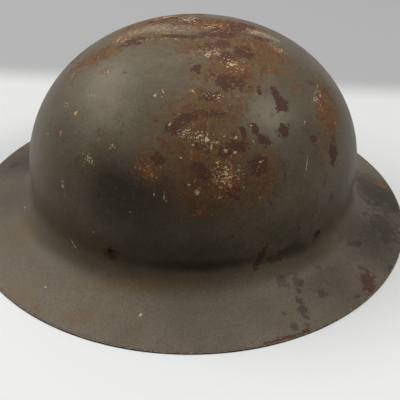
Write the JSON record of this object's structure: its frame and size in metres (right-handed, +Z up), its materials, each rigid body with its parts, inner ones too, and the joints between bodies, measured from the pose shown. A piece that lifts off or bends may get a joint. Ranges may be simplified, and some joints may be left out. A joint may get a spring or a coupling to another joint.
{
  "type": "steel helmet",
  "caption": "Wide-brimmed pressed steel helmet with a high bowl, a riveted leather liner inside and a chin strap in two halves stowed under the bowl.",
  "frame": {"origin": "on the surface that the brim stands on, under the middle of the brim", "axes": "+X to the front of the helmet, +Y to the wearer's left, +Z up through the crown"},
  "size_m": [0.31, 0.291, 0.136],
  "materials": {
    "painted_steel": "worn olive-brown paint over rusted steel, satin",
    "rusted_steel": "rusted, matte",
    "spring_steel": "dull blackened steel",
    "plated_steel": "tarnished plating, satin",
    "vulcanised_fibre": "red-brown vulcanised fibre, matte",
    "liner_leather": "worn tan leather",
    "strap_leather": "worn brown strap leather",
    "strap_brass": "tarnished brass",
    "grey_rubber": "aged rubber, matte"
  },
  "bodies": {
    "helmet": {"shell": "painted_steel", "hanger_rivets": "rusted_steel", "liner_band": "vulcanised_fibre", "leather_cradle": "liner_leather", "band_rivets": "plated_steel", "buffer_rivets": "plated_steel", "lug_rivets": "plated_steel", "crown_plate": "vulcanised_fibre", "crown_rivets": "plated_steel", "crown_cushion": "grey_rubber", "strap_lug_left": "spring_steel", "strap_lug_right": "spring_steel", "hanger_tab_front": "spring_steel", "hanger_tab_front_left": "spring_steel", "hanger_tab_rear_left": "spring_steel", "hanger_tab_rear": "spring_steel", "hanger_tab_rear_right": "spring_steel", "hanger_tab_front_right": "spring_steel", "buffer_front_left": "grey_rubber", "buffer_left": "grey_rubber", "buffer_rear_left": "grey_rubber", "buffer_rear_right": "grey_rubber", "buffer_right": "grey_rubber", "buffer_front_right": "grey_rubber"},
    "ring_left": {"strap_ring_left": "spring_steel"},
    "ring_right": {"strap_ring_right": "spring_steel"},
    "strap_left": {"short_strap": "strap_leather", "short_strap_rivets": "strap_brass"},
    "strap_right": {"long_strap": "strap_leather", "long_strap_rivet": "strap_brass"},
    "buckle": {"buckle_frame": "strap_brass"},
    "prong": {"buckle_prong": "strap_brass"},
    "keeper": {"strap_keeper": "strap_leather"}
  },
  "joints": [
    {"name": "ring_left_swing", "type": "hinge", "parent": "helmet", "child": "ring_left", "pos_m": [0.0025, 0.09213, 0.01438], "axis": [-1, 0, 0], "range_deg": [-65, 50]},
    {"name": "ring_right_swing", "type": "hinge", "parent": "helmet", "child": "ring_right", "pos_m": [0.0025, -0.09213, 0.01438], "axis": [1, 0, 0], "range_deg": [-65, 50]},
    {"name": "strap_left_swing", "type": "hinge", "parent": "ring_left", "child": "strap_left", "pos_m": [0.0025, 0.09213, 0.00488], "axis": [1, 0, 0], "range_deg": [0, 135]},
    {"name": "strap_right_swing", "type": "hinge", "parent": "ring_right", "child": "strap_right", "pos_m": [0.0025, -0.09213, 0.00488], "axis": [-1, 0, 0], "range_deg": [0, 135]},
    {"name": "buckle_swing", "type": "hinge", "parent": "strap_left", "child": "buckle", "pos_m": [-0.01249, -0.00595, 0.00488], "axis": [-0.9703, 0.2419, 0], "range_deg": [-90, 45]},
    {"name": "prong_swing", "type": "hinge", "parent": "buckle", "child": "prong", "pos_m": [-0.01249, -0.00595, 0.00488], "axis": [-0.9703, 0.2419, 0], "range_deg": [0, 90]},
    {"name": "keeper_slide", "type": "slide", "parent": "strap_left", "child": "keeper", "axis": [0.2419, 0.9703, 0], "range_m": [0, 0.012]}
  ]
}
